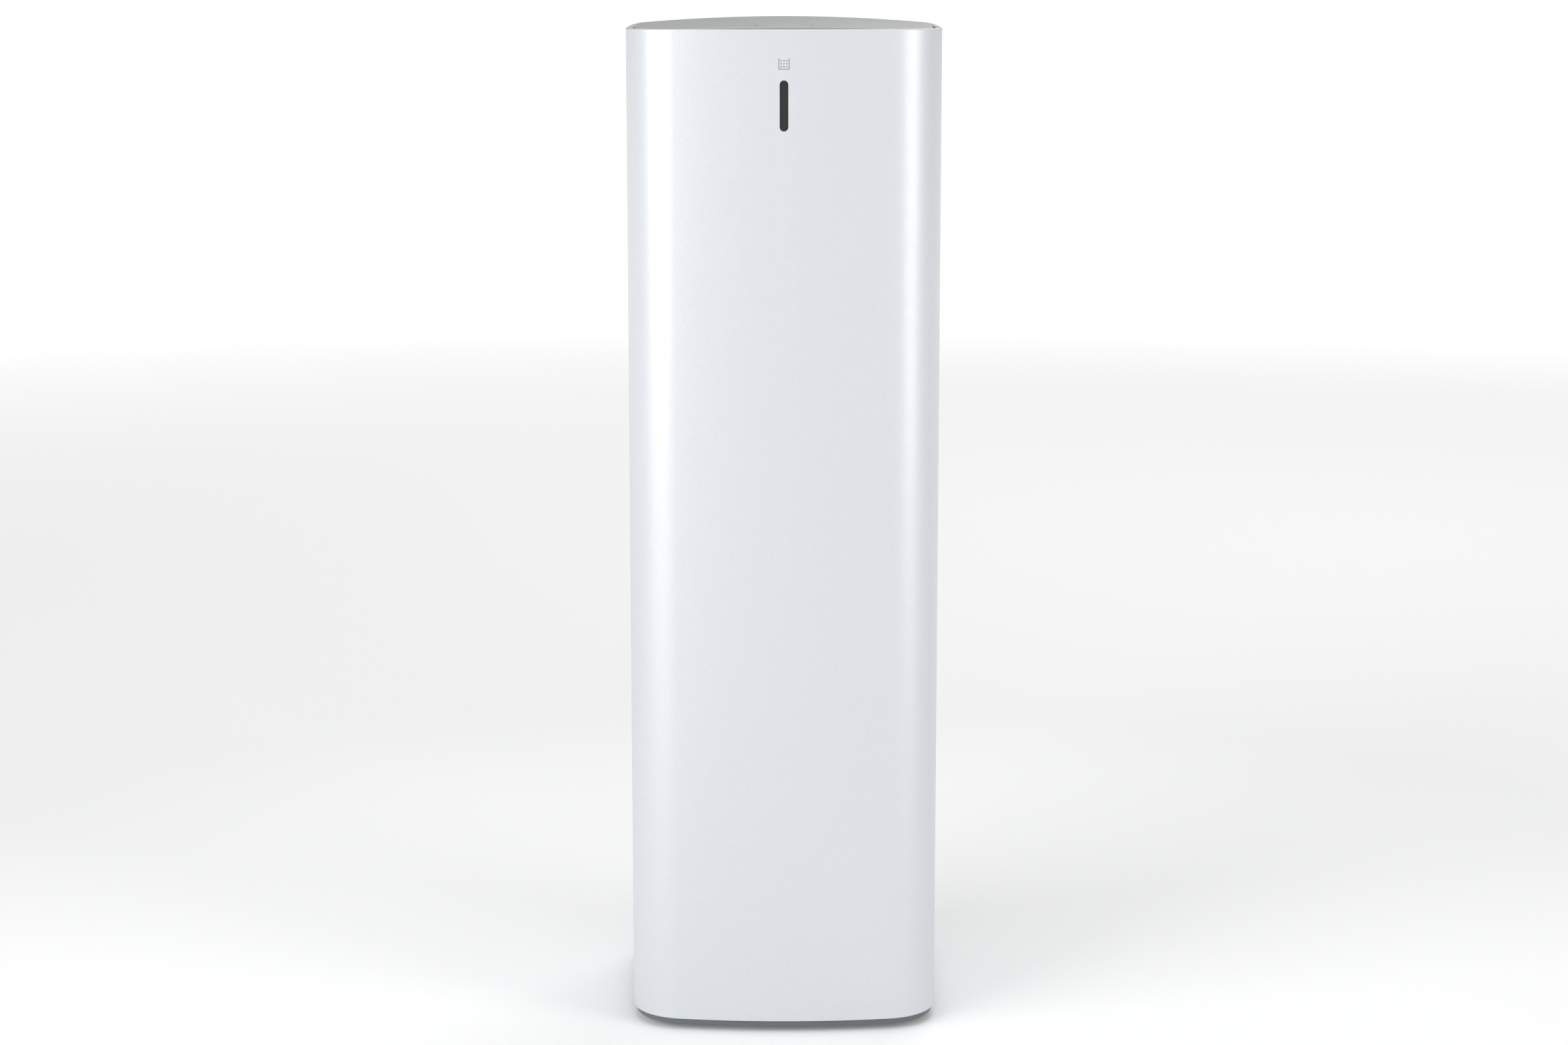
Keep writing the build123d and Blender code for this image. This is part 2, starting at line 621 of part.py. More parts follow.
def motor_housing_upper():
    """Cap of the fan section, with the air inlet in its top."""
    z = (HOUSING_Z[1], HOUSING_Z[2])
    inner = HOUSING_RADIUS - HOUSING_WALL
    cap = tube(HOUSING_RADIUS, inner, 0, FAN_Y, z)
    cap += tube(HOUSING_RADIUS + 4, inner, 0, FAN_Y, (z[0], z[0] + 3))
    cap += tube(HOUSING_RADIUS, EYE_RADIUS, 0, FAN_Y, (z[1] - 3, z[1]))
    cap += tube(EYE_RADIUS + 4, EYE_RADIUS, 0, FAN_Y, (z[1] - 9, z[1]))
    return cap


def housing_gasket():
    """Soft frame between the fan section and the filter above it."""
    low, high = HOUSING_Z[2], FILTER_Z[0]
    return block((-52, 52), (-34, 50), (low, high)) - block((-46, 46), (-29, 42), (low - 1, high + 1))


def motor_mount_rings():
    """Rubber rings that hold the motor at its two ends."""
    return [
        tube(30.0, 20.0, 0, FAN_Y, (29, 40)),
        tube(53.0, 44.0, 0, FAN_Y, (92, 98)),
    ]


def motor_can():
    """Round motor case with a bearing seat at each end."""
    low, high = CAN_Z
    can = tube(CAN_RADIUS, CAN_RADIUS - 2, 0, FAN_Y, (low, high))
    for z in ((low, low + 3), (high - 3, high)):
        can += tube(CAN_RADIUS, BEARING_RADIUS, 0, FAN_Y, z)
    for angle in range(0, 360, 60):
        x, y = 24 * math.cos(math.radians(angle)), 24 * math.sin(math.radians(angle))
        can -= upright(3.0, x, FAN_Y + y, (high - 4, high + 1))
    return can


def motor_stator():
    """Laminated ring with its windings."""
    return tube(CAN_RADIUS - 2, 19.5, 0, FAN_Y, (CAN_Z[0] + 10, CAN_Z[1] - 10))


def motor_bearings():
    """Ball bearings, as their outer rings with the running bore."""
    bore = SHAFT_RADIUS + RUN
    low, high = CAN_Z
    return [tube(BEARING_RADIUS, bore, 0, FAN_Y, z) for z in ((low - 2, low + 3), (high - 3, high + 2))]


def motor_rotor():
    """Magnet rotor on the shaft."""
    return tube(18.0, SHAFT_RADIUS, 0, FAN_Y, (CAN_Z[0] + 12, CAN_Z[1] - 12))


def motor_shaft():
    """Steel shaft that carries the rotor and the impeller."""
    return upright(SHAFT_RADIUS, 0, FAN_Y, (CAN_Z[0] - 4, WHEEL_Z[1] + 3))


def diffuser():
    """Fixed disc with curved vanes under the impeller."""
    low, high = DIFFUSER_Z
    disc = tube(HOUSING_RADIUS - HOUSING_WALL - 0.3, BEARING_RADIUS + 0.4, 0, FAN_Y, (low, high))
    disc += tube(12.0, BEARING_RADIUS + 0.4, 0, FAN_Y, (CAN_Z[1], high))
    disc -= tube(51.0, 40.0, 0, FAN_Y, (low - 1, high + 1))
    for angle in range(0, 360, 30):
        vane = Pos(0, FAN_Y, (low + high) / 2) * Rot(0, 0, angle) * Pos(45.6, 0, 0) * Rot(0, 0, 28)
        disc += vane * Box(13.5, 1.6, 3.0)
    return disc


def impeller():
    """Backward-curved fan wheel."""
    low, high = WHEEL_Z
    wheel = tube(WHEEL_RADIUS, SHAFT_RADIUS, 0, FAN_Y, (low, low + 2.5))
    wheel += tube(9.0, SHAFT_RADIUS, 0, FAN_Y, (low, high))
    for angle in range(0, 360, 40):
        place = Pos(0, FAN_Y, low + 8) * Rot(0, 0, angle) * Pos(25.0, 3.0, 0) * Rot(0, 0, 24)
        wheel += place * Box(31.0, 1.8, 11.5)
    return wheel - upright(SHAFT_RADIUS, 0, FAN_Y, (100, 125))


def exhaust_duct():
    """Open frame that seats the exhaust filter behind the fan."""
    duct = block((-54, 54), (78.5, 89), (62, 178)) - block((-50, 50), (77, 90), (66, 174))
    throat = block((-THROAT_X - 4, THROAT_X + 4), (72, 80), (THROAT_Z[0] - 3, THROAT_Z[1] + 2.6))
    throat -= block((-THROAT_X, THROAT_X), (70, 82), THROAT_Z)
    return duct + (throat - upright(HOUSING_RADIUS + 0.3, 0, FAN_Y, (50, 100)))


def exhaust_grille():
    """Louvred cover flush with the back of the casing."""
    gap = 0.6
    z = (EXHAUST_Z[0] + gap, EXHAUST_Z[1] - gap)
    cover = wall(0, SHELL_WALL, z, (60, DEPTH))
    cover &= block((-EXHAUST_X + gap, EXHAUST_X - gap), (60, DEPTH), (0, 300))
    for row in range(LOUVRE_COUNT):
        level = EXHAUST_Z[0] + 14 + LOUVRE_PITCH * row
        for x in (-26, 26):
            cover -= block((x - 23, x + 23), (80, DEPTH), (level, level + LOUVRE_GAP))
    return cover


def exhaust_filter_frame():
    """Frame of the fine filter, held on the grille's inner side."""
    frame = block((-49.4, 49.4), (80, 94), (66.6, 173.4))
    return frame - block((-46, 46), (79, 95), (70, 170))


def exhaust_filter_media():
    """Pleated filter paper."""
    half = 46.0
    step = 2 * half / PLEATS
    front = [(-half + i * step, 82.0 if i % 2 else 90.0) for i in range(PLEATS + 1)]
    rear = [(x, y + 1.5) for x, y in reversed(front)]
    pleats = make_face(Polyline(*front, *rear, close=True))
    return extrude(Pos(0, 0, 70) * pleats, 100)


# ---------------------------------------------------------------- electronics
def main_board():
    """Control board between the bag chamber and the casing."""
    return block(BOARD_X, BOARD_Y, BOARD_Z)


def board_components():
    """Larger parts on the control board."""
    face = BOARD_X[0]
    capacitors = [crosswise(8, (face - 12, face), -8, z) for z in (385, 362)]
    return capacitors + [
        block((face - 12, face), (10, 36), (352, 390)),
        block((face - 6, face), (-16, 40), (296, 330)),
        block((face - 10, face), (0, 30), (244, 280)),
    ]


def board_posts():
    """Spacers that hold the control board off the casing."""
    return [
        crosswise(3.0, (BOARD_X[1], 94.0), y, z)
        for y in (BOARD_Y[0] + 6, BOARD_Y[1] - 6)
        for z in (BOARD_Z[0] + 6, BOARD_Z[1] - 6)
    ]


def power_inlet():
    """Two-pole appliance inlet in the back, near the floor."""
    def centred(half_width, y, half_height):
        """Box about the inlet's axis."""
        x = (INLET_X - half_width, INLET_X + half_width)
        return block(x, y, (INLET_Z - half_height, INLET_Z + half_height))

    body = centred(11.5, (84, 96), 7.5) + centred(16, (83.0, 85.5), 12)
    body -= centred(8.5, (87, 98), 4.5)
    for pin in inlet_pins():
        body -= pin
    return body


def inlet_pins():
    """Contacts of the appliance inlet."""
    return [fore_aft(1.2, x, (80, 91), INLET_Z) for x in (INLET_X - 4.5, INLET_X + 4.5)]


def build():
    """Write every node."""
    os.makedirs("parts", exist_ok=True)
    makers = [
        feet, base_tray, rear_shell, door_cover, indicator_lens, icon_inlay, display_board,
        display_leds, door_inner_panel, door_seal, door_hinge_pins, door_magnets, catch_strikes,
        lid_cover, lid_hinge_pin, lid_liner, lid_seal, lid_magnets, top_cap, top_deck,
        start_button, button_spring, start_switch, bin_cradle, cradle_gasket, bin_pusher,
        bin_solenoid, inlet_duct, duct_gaskets, air_flap, flap_shaft, flap_servo, bag_chamber,
        bag_rails, bag_collar, dust_bag, premotor_filter_frame, premotor_foam, inner_frame,
        frame_screws, motor_housing_lower, motor_housing_upper, housing_gasket,
        motor_mount_rings, motor_can, motor_stator, motor_bearings, motor_rotor, motor_shaft,
        diffuser, impeller, exhaust_duct, exhaust_grille, exhaust_filter_frame,
        exhaust_filter_media, main_board, board_components, board_posts, power_inlet,
        inlet_pins,
    ]
    for maker in makers:
        made = maker()
        save(maker.__name__, *(made if isinstance(made, list) else [made]))


build()
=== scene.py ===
"""Looks of a floor tower that empties a vacuum cleaner's dust bin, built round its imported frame."""

import json
import logging
import math
from dataclasses import dataclass
from enum import Enum

import bpy
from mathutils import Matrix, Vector

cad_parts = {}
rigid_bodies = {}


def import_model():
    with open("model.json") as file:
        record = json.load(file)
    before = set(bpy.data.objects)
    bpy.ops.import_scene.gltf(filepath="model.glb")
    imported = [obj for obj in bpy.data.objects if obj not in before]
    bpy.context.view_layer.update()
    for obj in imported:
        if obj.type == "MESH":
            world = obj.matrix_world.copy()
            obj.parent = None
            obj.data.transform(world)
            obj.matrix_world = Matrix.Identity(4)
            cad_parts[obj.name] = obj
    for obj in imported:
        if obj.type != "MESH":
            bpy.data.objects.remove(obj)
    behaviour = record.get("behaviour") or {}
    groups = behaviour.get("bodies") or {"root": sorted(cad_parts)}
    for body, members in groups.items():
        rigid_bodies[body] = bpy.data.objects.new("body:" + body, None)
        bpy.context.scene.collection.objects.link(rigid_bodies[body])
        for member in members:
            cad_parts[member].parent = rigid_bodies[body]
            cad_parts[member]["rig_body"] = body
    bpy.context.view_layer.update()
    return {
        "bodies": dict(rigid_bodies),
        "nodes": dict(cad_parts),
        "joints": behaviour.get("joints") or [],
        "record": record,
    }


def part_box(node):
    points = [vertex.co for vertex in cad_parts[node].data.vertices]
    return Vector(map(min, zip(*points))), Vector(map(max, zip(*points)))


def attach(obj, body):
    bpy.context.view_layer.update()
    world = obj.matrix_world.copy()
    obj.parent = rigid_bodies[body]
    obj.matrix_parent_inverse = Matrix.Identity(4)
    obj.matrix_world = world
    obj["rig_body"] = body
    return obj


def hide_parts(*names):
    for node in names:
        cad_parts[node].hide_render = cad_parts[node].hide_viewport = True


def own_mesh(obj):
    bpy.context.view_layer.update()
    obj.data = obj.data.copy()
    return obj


LOG = logging.getLogger("tower")
Colour = tuple[float, float, float]
Place = tuple[float, float, float]
Span = tuple[float, float]
Socket = bpy.types.NodeSocket
NOISE: Span = (0.3, 0.7)  # where nearly all of a noise field lies


# ------------------------------------------------------------------ materials
class Painter:
    """Adds shader nodes to one new material."""

    def __init__(self, name: str) -> None:
        """Start a material with a Principled shader.

        Args:
            name: name of the material.
        """
        self.material = bpy.data.materials.new(name)
        self.material.use_nodes = True
        self.tree = self.material.node_tree
        self.shader = self.tree.nodes["Principled BSDF"]

    def set(self, **values: float | Colour) -> None:
        """Set uniform values on the shader's own sockets.

        Args:
            values: socket names with underscores for spaces, and their values.
        """
        for key, value in values.items():
            socket = self.shader.inputs[key.replace("_", " ")]
            socket.default_value = (*value, 1.0) if isinstance(value, tuple) else value

    def add(self, kind: str, **settings: object) -> bpy.types.Node:
        """Add one node.

        Args:
            kind: the node's type, without the ShaderNode in front.
            settings: its properties.

        Returns:
            The node.
        """
        node = self.tree.nodes.new("ShaderNode" + kind)
        for key, value in settings.items():
            setattr(node, key, value)
        return node

    def link(self, source: Socket, target: Socket) -> None:
        """Join an output to an input."""
        self.tree.links.new(source, target)

    def point(self, scale: Place = (1.0, 1.0, 1.0)) -> Socket:
        """Place on the object, stretched by a scale.

        Args:
            scale: factor along each axis.

        Returns:
            The vector output.
        """
        mapping = self.add("Mapping")
        mapping.inputs["Scale"].default_value = scale
        self.link(self.add("TexCoord").outputs["Object"], mapping.inputs["Vector"])
        return mapping.outputs["Vector"]

    def noise(self, point: Socket, scale: float, detail: float = 2.0) -> Socket:
        """Noise field.

        Args:
            point: where it is read.
            scale: grains per metre, more or less.
            detail: octaves.

        Returns:
            The factor output.
        """
        node = self.add("TexNoise")
        node.inputs["Scale"].default_value = scale
        node.inputs["Detail"].default_value = detail
        self.link(point, node.inputs["Vector"])
        return node.outputs["Fac"]

    def cells(self, point: Socket, scale: float, feature: str = "F1") -> Socket:
        """Cell pattern.

        Args:
            point: where it is read.
            scale: cells per metre.
            feature: which distance is given.

        Returns:
            The distance output.
        """
        node = self.add("TexVoronoi", feature=feature)
        node.inputs["Scale"].default_value = scale
        self.link(point, node.inputs["Vector"])
        return node.outputs["Distance"]

    def remap(self, value: Socket, source: Span, result: Span) -> Socket:
        """Turn one range of values into another.

        Args:
            value: what is turned.
            source: its range.
            result: the range that it becomes.

        Returns:
            The result output.
        """
        node = self.add("MapRange")
        names = ("From Min", "From Max", "To Min", "To Max")
        for name, number in zip(names, (*source, *result)):
            node.inputs[name].default_value = number
        self.link(value, node.inputs["Value"])
        return node.outputs["Result"]

    def tint(self, value: Socket, low: Colour, high: Colour, span: Span = NOISE) -> None:
        """Colour the surface by a blend of two colours.

        Args:
            value: what picks between them.
            low: colour at the start of the span.
            high: colour at its end.
            span: the values at which each colour is reached.
        """
        node = self.add("ValToRGB")
        first, last = node.color_ramp.elements
        first.position, first.color = span[0], (*low, 1.0)
        last.position, last.color = span[1], (*high, 1.0)
        self.link(value, node.inputs["Fac"])
        self.link(node.outputs["Color"], self.shader.inputs["Base Color"])

    def dull(self, noise: Socket, low: float, high: float) -> None:
        """Vary the surface's roughness.

        Args:
            noise: what it varies by.
            low: roughness at the low end of the noise.
            high: roughness at its high end.
        """
        self.link(self.remap(noise, NOISE, (low, high)), self.shader.inputs["Roughness"])

    def bump(self, height: Socket, depth: float, strength: float = 1.0) -> None:
        """Relief on the surface, added over any that is there.

        Args:
            height: field from 0 to 1.
            depth: metres between 0 and 1.
            strength: how much of it shows.
        """
        node = self.add("Bump")
        node.inputs["Strength"].default_value = strength
        node.inputs["Distance"].default_value = depth
        self.link(height, node.inputs["Height"])
        normal = self.shader.inputs["Normal"]
        if normal.is_linked:
            self.link(normal.links[0].from_socket, node.inputs["Normal"])
        self.link(node.outputs["Normal"], normal)


def shade(colour: Colour, factor: float) -> Colour:
    """A colour made lighter or darker."""
    return tuple(min(1.0, channel * factor) for channel in colour)


@dataclass(frozen=True)
class Moulded:
    """Moulded plastic with a spark-eroded grain and faint flow marks."""

    name: str
    colour: Colour
    roughness: float = 0.45
    grain: float = 1400.0
    depth: float = 0.00006
    mottle: float = 0.05

    def material(self) -> bpy.types.Material:
        """Build the material."""
        paint = Painter(self.name)
        point = paint.point()
        flow = paint.noise(point, scale=9.0, detail=3.0)
        low, high = 1 - self.mottle, 1 + self.mottle / 2
        paint.tint(flow, shade(self.colour, low), shade(self.colour, high))
        grain = paint.noise(point, self.grain)
        paint.dull(grain, self.roughness - 0.05, self.roughness + 0.05)
        paint.bump(grain, self.depth, strength=0.6)
        return paint.material


@dataclass(frozen=True)
class Pearl:
    """Pearl lacquer: fine bright flakes under a clear satin coat."""

    name: str
    colour: Colour
    roughness: float = 0.42
    metallic: float = 0.30

    def material(self) -> bpy.types.Material:
        """Build the material."""
        paint = Painter(self.name)
        paint.set(Metallic=self.metallic, Coat_Weight=0.35, Coat_Roughness=0.22, Coat_IOR=1.45)
        point = paint.point()
        flake = paint.cells(point, scale=1500.0)
        paint.tint(flake, shade(self.colour, 1.03), shade(self.colour, 0.965), span=(0.1, 0.8))
        orange_peel = paint.noise(point, scale=320.0, detail=3.0)
        paint.dull(orange_peel, self.roughness - 0.04, self.roughness + 0.04)
        paint.bump(orange_peel, depth=0.00003, strength=0.35)
        grain = paint.noise(point, scale=620.0, detail=1.0)
        paint.bump(grain, depth=0.00007)
        return paint.material


@dataclass(frozen=True)
class Brushed:
    """Metal with fine drawn lines along one axis."""

    name: str
    colour: Colour
    roughness: float = 0.3
    lines: Place = (2500.0, 2500.0, 60.0)

    def material(self) -> bpy.types.Material:
        """Build the material."""
        paint = Painter(self.name)
        paint.set(Metallic=1.0)
        streak = paint.noise(paint.point(self.lines), scale=1.0)
        paint.tint(streak, shade(self.colour, 0.85), shade(self.colour, 1.1))
        paint.dull(streak, self.roughness - 0.08, self.roughness + 0.1)
        paint.bump(streak, depth=0.00002, strength=0.4)
        return paint.material


@dataclass(frozen=True)
class Rubber:
    """Soft black moulding with a dusty, uneven sheen."""

    name: str
    colour: Colour
    roughness: float = 0.72

    def material(self) -> bpy.types.Material:
        """Build the material."""
        paint = Painter(self.name)
        paint.set(Specular_IOR_Level=0.35)
        point = paint.point()
        dust = paint.noise(point, scale=60.0, detail=4.0)
        paint.tint(dust, self.colour, shade(self.colour, 1.7), span=(0.35, 0.75))
        paint.dull(dust, self.roughness - 0.08, self.roughness + 0.1)
        paint.bump(paint.noise(point, scale=900.0), depth=0.00008, strength=0.5)
        return paint.material


@dataclass(frozen=True)
class BondedCloth:
    """Non-woven cloth: long random fibres with a grid of weld points."""

    name: str
    colour: Colour

    def material(self) -> bpy.types.Material:
        """Build the material."""
        paint = Painter(self.name)
        paint.set(Roughness=0.9, Sheen_Weight=0.3, Sheen_Roughness=0.5, Specular_IOR_Level=0.2)
        point = paint.point()
        cloud = paint.noise(point, scale=70.0, detail=6.0)
        paint.tint(cloud, shade(self.colour, 0.95), shade(self.colour, 1.02))
        fibres = paint.noise(paint.point((900.0, 900.0, 160.0)), scale=1.0, detail=4.0)
        paint.bump(fibres, depth=0.00025, strength=0.7)
        welds = paint.cells(point, scale=420.0)
        paint.bump(welds, depth=0.00022, strength=0.6)
        return paint.material


@dataclass(frozen=True)
class Foam:
    """Open-cell foam, with painted shade in its pores."""

    name: str
    colour: Colour

    def material(self) -> bpy.types.Material:
        """Build the material."""
        paint = Painter(self.name)
        paint.set(Roughness=0.95, Specular_IOR_Level=0.1)
        pits_and_pore_shade = paint.cells(paint.point(), scale=700.0)
        # pores painted darker towards their bottoms and cell walls lighter: painted shade in the pits
        paint.tint(pits_and_pore_shade, shade(self.colour, 0.35), shade(self.colour, 1.3), span=(0.15, 0.6))
        paint.bump(pits_and_pore_shade, depth=0.0007, strength=0.9)
        return paint.material


@dataclass(frozen=True)
class Fibre:
    """Paper or pressed board with specks and fibres."""

    name: str
    colour: Colour
    grain: float = 500.0

    def material(self) -> bpy.types.Material:
        """Build the material."""
        paint = Painter(self.name)
        paint.set(Roughness=0.88, Specular_IOR_Level=0.2)
        specks = paint.noise(paint.point(), self.grain, detail=5.0)
        paint.tint(specks, shade(self.colour, 0.8), shade(self.colour, 1.08), span=(0.35, 0.62))
        fibres = paint.noise(paint.point((300.0, 1200.0, 300.0)), scale=1.0, detail=4.0)
        paint.bump(fibres, depth=0.00015, strength=0.6)
        return paint.material


@dataclass(frozen=True)
class SolderMask:
    """Circuit board lacquer over copper tracks."""

    name: str
    colour: Colour

    def material(self) -> bpy.types.Material:
        """Build the material."""
        paint = Painter(self.name)
        paint.set(Roughness=0.3, Coat_Weight=0.4, Coat_Roughness=0.1)
        tracks = paint.cells(paint.point((1.0, 1.0, 0.45)), scale=260.0, feature="DISTANCE_TO_EDGE")
        paint.tint(tracks, shade(self.colour, 1.9), self.colour, span=(0.05, 0.09))
        paint.bump(tracks, depth=0.0001, strength=0.4)
        return paint.material


@dataclass(frozen=True)
class SmokedLens:
    """Glossy smoked window."""

    name: str
    colour: Colour

    def material(self) -> bpy.types.Material:
        """Build the material."""
        paint = Painter(self.name)
        paint.set(Coat_Weight=0.2, Coat_Roughness=0.08, Specular_IOR_Level=0.3)
        haze = paint.noise(paint.point(), scale=120.0)
        paint.tint(haze, self.colour, shade(self.colour, 1.25))
        paint.dull(haze, 0.10, 0.16)
        return paint.material


class Finish(Enum):
    """Every finish on the tower, by the record's slot name."""

    WHITE_SHELL = Pearl("white_shell", (0.695, 0.714, 0.743))
    LID_GREY = Moulded(
        "lid_grey", (0.405, 0.413, 0.408),
        roughness=0.5, grain=1100.0, depth=0.00008, mottle=0.04,
    )
    BASE_GREY = Moulded("base_grey", (0.135, 0.153, 0.168), roughness=0.42)
    LENS_DARK = SmokedLens("lens_dark", (0.012, 0.013, 0.0135))
    ICON_GREY = Moulded(
        "icon_grey", (0.17, 0.178, 0.185),
        roughness=0.6, grain=2000.0, depth=0.00002,
    )
    LAMP_WHITE = Moulded(
        "lamp_white", (0.82, 0.84, 0.86),
        roughness=0.3, grain=2000.0, depth=0.00002,
    )
    BOARD_GREEN = SolderMask("board_green", (0.012, 0.11, 0.045))
    INNER_PLASTIC = Moulded(
        "inner_plastic", (0.52, 0.545, 0.57),
        roughness=0.5, grain=900.0, depth=0.00010,
    )
    DECK_PLASTIC = Moulded(
        "deck_plastic", (0.20, 0.21, 0.22),
        roughness=0.48, grain=1000.0, depth=0.00010,
    )
    RAIL_PLASTIC = Moulded("rail_plastic", (0.10, 0.115, 0.13), roughness=0.42)
    HOUSING_PLASTIC = Moulded(
        "housing_plastic", (0.05, 0.055, 0.06),
        roughness=0.5, grain=800.0, depth=0.00012,
    )
    FAN_METAL = Brushed(
        "fan_metal", (0.66, 0.67, 0.69),
        roughness=0.38, lines=(700.0, 700.0, 700.0),
    )
    FILTER_PAPER = Fibre("filter_paper", (0.80, 0.80, 0.75))
    RUBBER_DARK = Rubber("rubber_dark", (0.022, 0.022, 0.025))
    STEEL = Brushed("steel", (0.56, 0.56, 0.58))
    STATOR_STEEL = Brushed(
        "stator_steel", (0.30, 0.28, 0.27),
        roughness=0.45, lines=(60.0, 60.0, 2500.0),
    )
    BRASS = Brushed("brass", (0.72, 0.55, 0.25), roughness=0.28)
    MAGNET = Brushed("magnet", (0.42, 0.42, 0.44), roughness=0.22, lines=(500.0, 500.0, 500.0))
    BUTTON_PLASTIC = Moulded("button_plastic", (0.62, 0.64, 0.66), roughness=0.4)
    SWITCH_BLACK = Moulded("switch_black", (0.022, 0.022, 0.025), roughness=0.42)
    COMPONENT_BLACK = Moulded(
        "component_black", (0.035, 0.035, 0.042),
        roughness=0.35, grain=1800.0, depth=0.00004,
    )
    CARD = Fibre("card", (0.52, 0.42, 0.28), grain=350.0)
    BAG_CLOTH = BondedCloth("bag_cloth", (0.80, 0.81, 0.81))
    FOAM = Foam("foam", (0.075, 0.085, 0.10))

    def __init__(self, finish: object) -> None:
        """Keep the finish; its material is made on first use."""
        self.finish = finish
        self.made: bpy.types.Material | None = None

    @property
    def slot(self) -> str:
        """Name of the record's material slot."""
        return self.finish.name

    @property
    def material(self) -> bpy.types.Material:
        """The Blender material, built once."""
        if self.made is None:
            self.made = self.finish.material()
        return self.made


def finish_node(frame: dict, finish: Finish, *nodes: str) -> None:
    """Give CAD nodes a finish.

    Args:
        frame: the loaded frame.
        finish: what they are made of.
        nodes: the nodes.
    """
    for node in nodes:
        target = frame["nodes"][node]
        target.data.materials.clear()
        target.data.materials.append(finish.material)
        finish.slot
        LOG.info("%s finished in %s", node, finish.slot)


# ------------------------------------------------------------- modelling tools
def deselect() -> None:
    """Leave nothing selected."""
    if bpy.context.object and bpy.context.object.mode != "OBJECT":
        bpy.ops.object.mode_set(mode="OBJECT")
    bpy.ops.object.select_all(action="DESELECT")


def pick(obj: bpy.types.Object) -> None:
    """Make one object the only selected and active one."""
    deselect()
    obj.select_set(True)
    bpy.context.view_layer.objects.active = obj


def settle(obj: bpy.types.Object) -> None:
    """Move an object's place, turn and scale into its mesh."""
    pick(obj)
    bpy.ops.object.transform_apply(location=True, rotation=True, scale=True)


def modify(obj: bpy.types.Object, kind: str, **settings: object) -> None:
    """Add one modifier and apply it.

    Args:
        obj: the piece.
        kind: the modifier's type.
        settings: its properties.
    """
    pick(obj)
    modifier = obj.modifiers.new(kind.title(), kind)
    for key, value in settings.items():
        setattr(modifier, key, value)
    bpy.ops.object.modifier_apply(modifier=modifier.name)


def smooth(obj: bpy.types.Object, degrees: float = 35.0) -> None:
    """Shade smooth up to an angle."""
    pick(obj)
    bpy.ops.object.shade_smooth_by_angle(angle=math.radians(degrees))


def outward(obj: bpy.types.Object) -> None:
    """Merge doubles and turn all faces outwards."""
    pick(obj)
    bpy.ops.object.mode_set(mode="EDIT")
    bpy.ops.mesh.select_all(action="SELECT")
    bpy.ops.mesh.remove_doubles(threshold=0.00001)
    bpy.ops.mesh.normals_make_consistent(inside=False)
    bpy.ops.object.mode_set(mode="OBJECT")


def rounded_box(
    name: str, low: Place, high: Place, radius: float, segments: int = 3
) -> bpy.types.Object:
    """Box with rounded edges.

    Args:
        name: name of the piece.
        low: lowest corner.
        high: highest corner.
        radius: of its edges.
        segments: faces round each edge.

    Returns:
        The piece.
    """
    deselect()
    middle = [(a + b) / 2 for a, b in zip(low, high)]
    bpy.ops.mesh.primitive_cube_add(size=1.0, location=middle)
    box = bpy.context.object
    box.name = name
    box.scale = [b - a for a, b in zip(low, high)]
    settle(box)
    modify(box, "BEVEL", width=radius, segments=segments, limit_method="NONE")
    smooth(box)
    return box


def rod(name: str, start: Place, end: Place, radius: float, sides: int = 24) -> bpy.types.Object:
    """Round bar with softened ends.

    Args:
        name: name of the piece.
        start: middle of one end.
        end: middle of the other end.
        radius: of the bar.
        sides: faces round it.

    Returns:
        The piece.
    """
    deselect()
    way = Vector(end) - Vector(start)
    bpy.ops.mesh.primitive_cylinder_add(
        radius=radius,
        depth=way.length,
        vertices=sides,
        location=(Vector(start) + Vector(end)) / 2,
        rotation=way.to_track_quat("Z", "Y").to_euler(),
    )
    bar = bpy.context.object
    bar.name = name
    settle(bar)
    width = min(radius, way.length / 2) * 0.25
    modify(bar, "BEVEL", width=width, segments=2, angle_limit=math.radians(50))
    smooth(bar)
    return bar


def join(name: str, parts: list[bpy.types.Object]) -> bpy.types.Object:
    """Join separate solids into one piece.

    Args:
        name: name of the piece.
        parts: the solids.

    Returns:
        The piece.
    """
    deselect()
    for part in parts:
        part.select_set(True)
    bpy.context.view_layer.objects.active = parts[0]
    if len(parts) > 1:
        bpy.ops.object.join()
    whole = bpy.context.object
    whole.name = name
    return whole


def mount(piece: bpy.types.Object, body: str, finish: Finish, *replaced: str) -> bpy.types.Object:
    """Give a finished piece its material and body, and hide the CAD nodes it stands for.

    Args:
        piece: the piece.
        body: CAD body that it moves with.
        finish: what it is made of.
        replaced: CAD nodes that it stands for.

    Returns:
        The piece.
    """
    piece.data.materials.clear()
    piece.data.materials.append(finish.material)
    for face in piece.data.polygons:
        face.material_index = 0
    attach(piece, body)
    finish.slot
    if replaced:
        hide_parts(*replaced)
    LOG.info("%s rides on %s", piece.name, body)
    return piece


def smooth_copy(
    frame: dict, node: str, name: str, finish: Finish, degrees: float = 28.0
) -> bpy.types.Object:
    """Stand a merged, smoothly shaded copy in for a CAD node.

    Args:
        frame: the loaded frame.
        node: the CAD node.
        name: name of the copy.
        finish: what it is made of.
        degrees: edges sharper than this stay sharp.

    Returns:
        The copy.
    """
    source = frame["nodes"][node]
    deselect()
    source.select_set(True)
    bpy.context.view_layer.objects.active = source
    bpy.ops.object.duplicate()
    copy = bpy.context.object
    copy.name = name
    copy.parent = None
    for key in list(copy.keys()):
        del copy[key]
    if copy.data.has_custom_normals:
        bpy.ops.mesh.customdata_custom_splitnormals_clear()
    outward(copy)
    smooth(copy, degrees)
    return mount(copy, source["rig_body"], finish, node)


